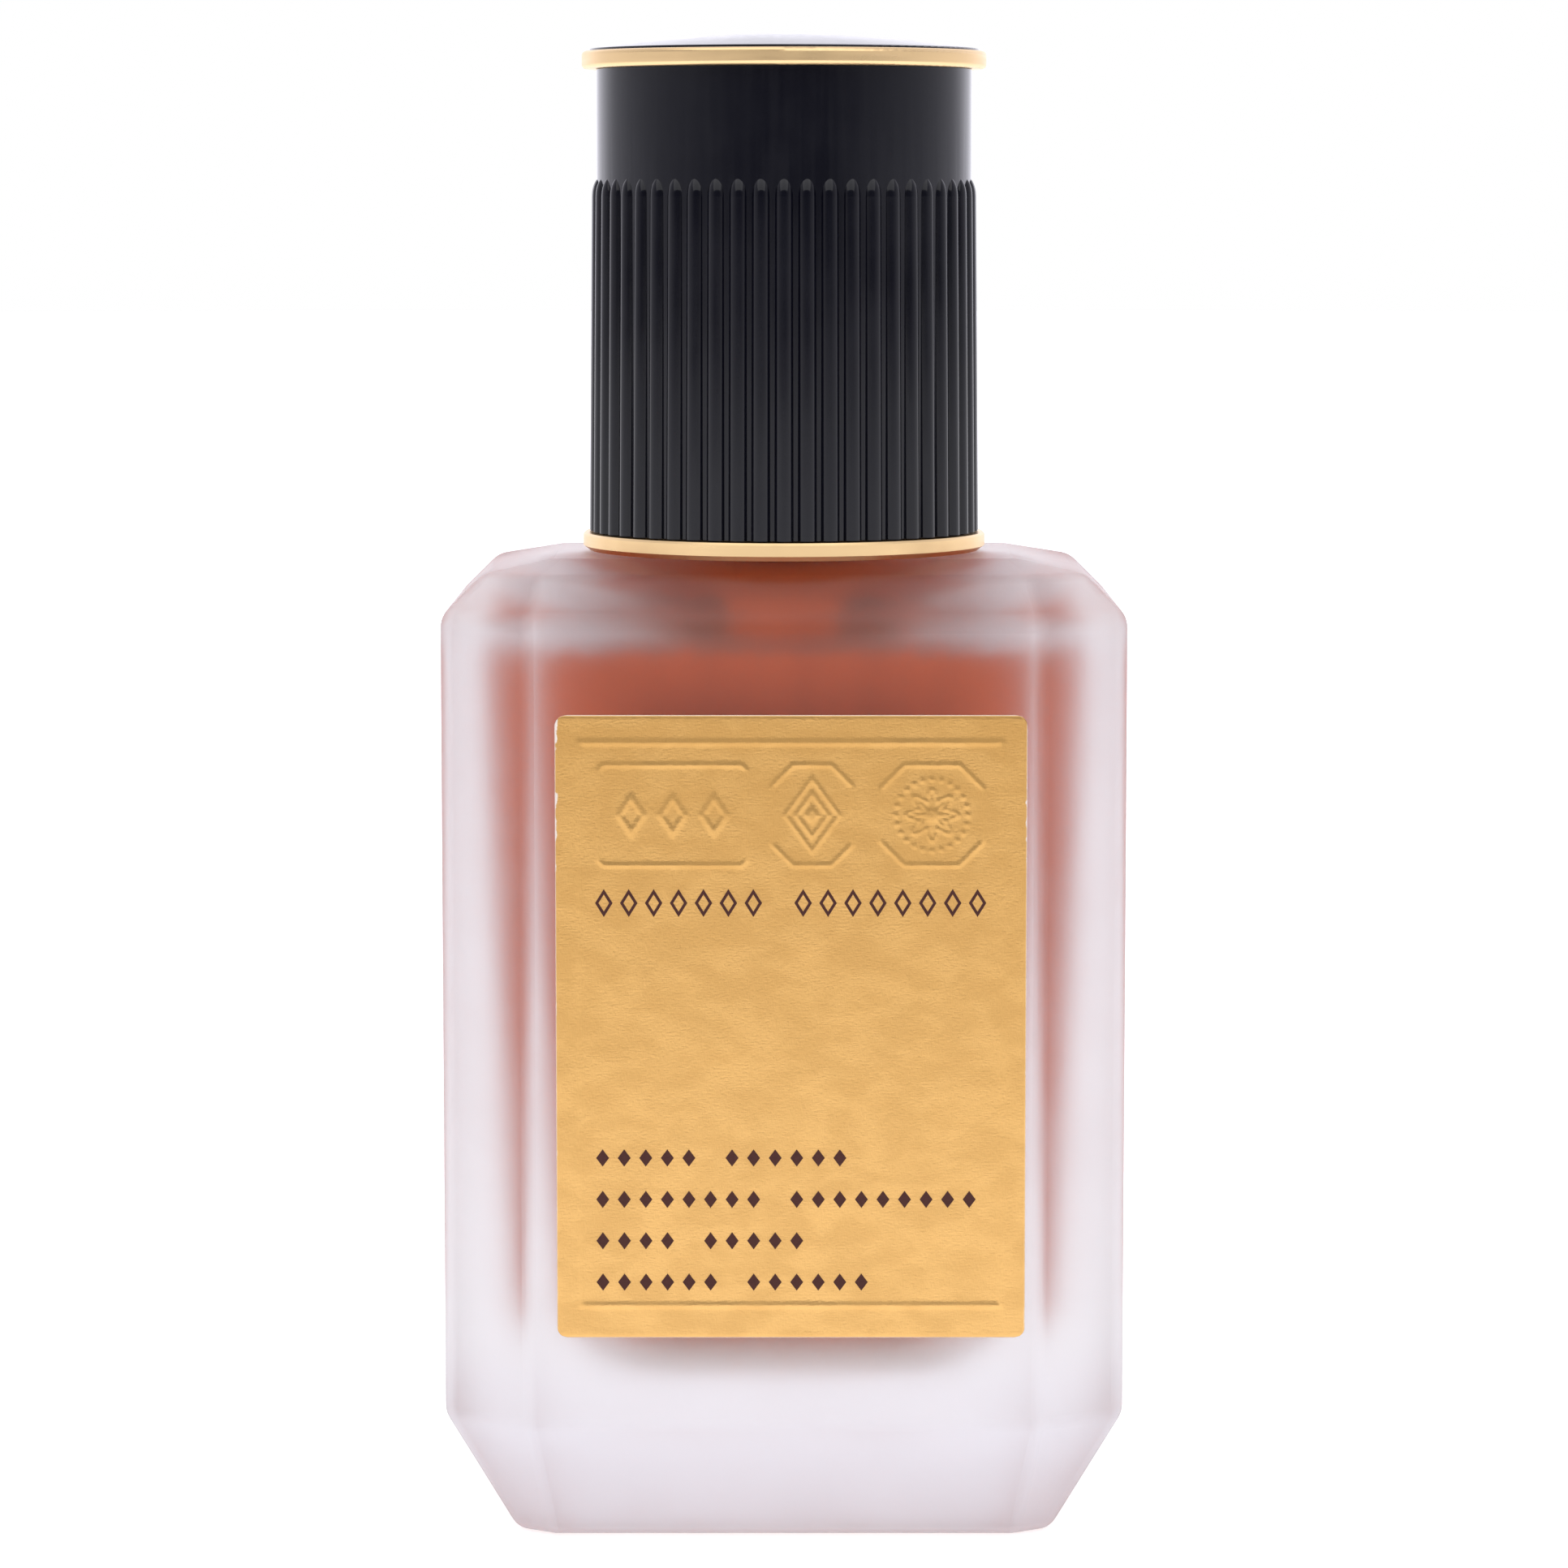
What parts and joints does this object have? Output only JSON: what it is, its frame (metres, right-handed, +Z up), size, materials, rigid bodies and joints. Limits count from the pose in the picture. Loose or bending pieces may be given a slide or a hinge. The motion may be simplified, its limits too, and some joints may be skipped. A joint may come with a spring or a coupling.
{
  "type": "foundation bottle",
  "caption": "Frosted glass foundation bottle with cut corners, a gold front label, a ribbed black overcap with gold rings, and a lotion pump under the cap.",
  "frame": {"origin": "centre of the flat base the bottle stands on", "axes": "+Z up along the neck and pump; the label faces -Y, so +X is to the right seen from the front"},
  "size_m": [0.0492, 0.0342, 0.1089],
  "materials": {
    "frosted_glass": "frosted",
    "gold_label": "satin metallic foil on paper",
    "foundation": "opaque liquid",
    "gold_metal": "polished",
    "black_plastic": "glossy",
    "natural_plastic": "natural translucent",
    "gasket_foam": "foam",
    "steel": "polished"
  },
  "bodies": {
    "bottle": {"bottle_glass": "frosted_glass", "front_label": "gold_label", "foundation_fill": "foundation"},
    "pump_unit": {"pump_housing": "natural_plastic", "pump_turret": "natural_plastic", "neck_gasket": "gasket_foam", "dip_tube": "natural_plastic", "return_spring": "steel"},
    "closure": {"screw_closure": "natural_plastic", "collar_shell": "gold_metal"},
    "overcap": {"cap_shell": "black_plastic", "cap_liner": "natural_plastic", "cap_top_ring": "gold_metal", "cap_top_disc": "black_plastic"},
    "stem": {"pump_stem": "natural_plastic", "stem_plug": "natural_plastic"},
    "piston": {"pump_piston": "natural_plastic"},
    "actuator": {"actuator_button": "black_plastic", "spout_insert": "black_plastic"},
    "valve_ball": {"inlet_ball": "steel"}
  },
  "joints": [
    {"name": "pump_lift", "type": "slide", "parent": "bottle", "child": "pump_unit", "axis": [0, 0, 1], "range_m": [0, 0.00476]},
    {"name": "closure_turn", "type": "hinge", "parent": "pump_unit", "child": "closure", "pos_m": [0, 0, 0.078], "axis": [0, 0, 1], "range_deg": [0, 540]},
    {"name": "cap_pull", "type": "slide", "parent": "closure", "child": "overcap", "axis": [0, 0, 1], "range_m": [0, 0.045]},
    {"name": "actuator_press", "type": "slide", "parent": "pump_unit", "child": "stem", "axis": [0, 0, -1], "range_m": [0, 0.004], "stiffness_N_per_m": 2500, "springref_m": -0.004, "deforming": ["return_spring"]},
    {"name": "piston_slip", "type": "slide", "parent": "stem", "child": "piston", "axis": [0, 0, 1], "range_m": [0, 0.0008]},
    {"name": "actuator_swivel", "type": "hinge", "parent": "stem", "child": "actuator", "pos_m": [0, 0, 0.095], "axis": [0, 0, 1], "continuous": true},
    {"name": "ball_lift", "type": "slide", "parent": "pump_unit", "child": "valve_ball", "axis": [0, 0, 1], "range_m": [0, 0.0008]}
  ],
  "couplings": [
    {"joint": "closure_turn", "follows": "pump_lift", "rad_per_m": 1979}
  ]
}
